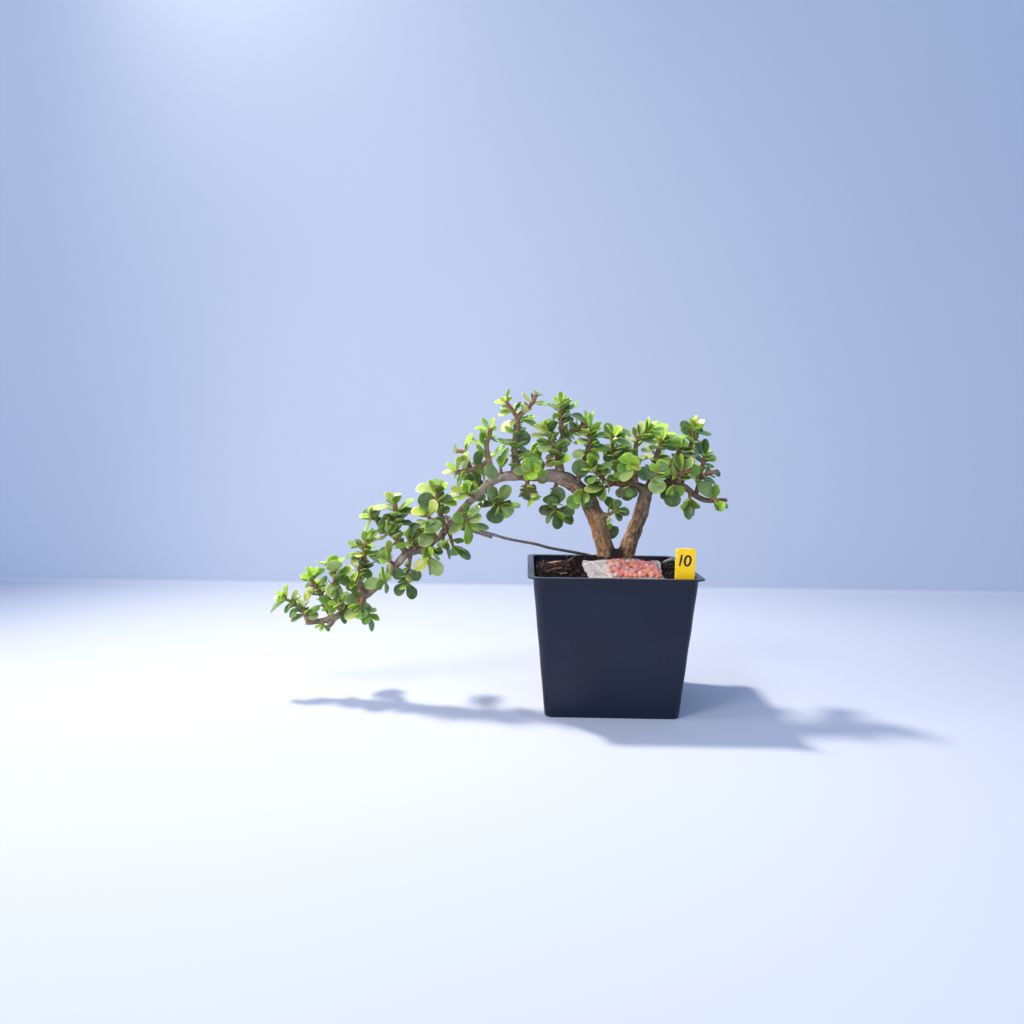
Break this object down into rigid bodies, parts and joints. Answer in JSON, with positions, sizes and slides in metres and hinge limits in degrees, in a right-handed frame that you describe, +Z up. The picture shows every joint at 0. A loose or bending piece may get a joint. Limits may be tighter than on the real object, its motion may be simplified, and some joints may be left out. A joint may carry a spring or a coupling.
{
  "type": "potted bonsai plant",
  "caption": "Cascade succulent bonsai: two bare trunks rise from a square plastic pot, one arching over and down beside it, both set with thick obovate leaves",
  "frame": {"origin": "centre of the pot's flat underside, which rests on the table", "axes": "+Z up; +X to the right as seen from the front, away from the cascade; -Y towards the viewer"},
  "size_m": [0.3685, 0.13, 0.2487],
  "materials": {
    "pot_plastic": "blue-black satin plastic with a little dust",
    "soil": "moist fibrous potting soil",
    "bark": "rough grey-brown bark",
    "leaf": "waxy green leaves on short reddish stems",
    "wire": "dull grey-brown wire",
    "label_plastic": "smooth yellow plastic",
    "film": "clear wrinkled film",
    "granules": "dusty pink and orange grains"
  },
  "bodies": {
    "root": {"pot": "pot_plastic", "soil": "soil", "trunk": "bark", "guy_wire": "wire", "number_label": "label_plastic", "sachet_film": "film", "sachet_granules": "granules", "spray_tip": "leaf", "spray_star": "leaf", "spray_far_fork": "leaf", "spray_far_low": "leaf", "spray_far_under": "leaf", "spray_low_node": "leaf", "spray_fork": "leaf", "spray_crook": "leaf", "spray_crook_upper": "leaf", "spray_hanging": "leaf", "spray_upright_stub": "leaf", "spray_arm_low": "leaf", "spray_arm_top": "leaf", "spray_arm_face": "leaf", "spray_arm_under": "leaf", "spray_arm_drop": "leaf", "spray_wire_node": "leaf", "spray_drop": "leaf", "spray_yellow_node": "leaf", "spray_round_leaves": "leaf", "spray_narrow_leaf": "leaf", "spray_red_stub": "leaf", "spray_tall_fork": "leaf", "spray_bend_face": "leaf", "spray_bend_under": "leaf", "spray_crown_left": "leaf", "spray_crown_mid": "leaf", "spray_crown_face": "leaf", "spray_crown_back": "leaf", "spray_inner_short": "leaf", "spray_inner_left": "leaf", "spray_crotch": "leaf", "spray_behind_trunk": "leaf", "spray_shade": "leaf", "spray_bend_leaf": "leaf", "spray_right_young": "leaf", "spray_right_top": "leaf", "spray_right_back": "leaf", "spray_right_tall": "leaf", "spray_right_far": "leaf", "spray_right_face": "leaf", "spray_right_inner": "leaf", "spray_right_drop": "leaf", "spray_right_under": "leaf", "spray_right_twig": "leaf", "spray_right_end": "leaf", "spray_back_far": "leaf", "spray_back_arm": "leaf", "spray_back_slope": "leaf", "spray_back_bend": "leaf", "spray_back_crown": "leaf", "spray_back_right": "leaf"}
  },
  "joints": []
}
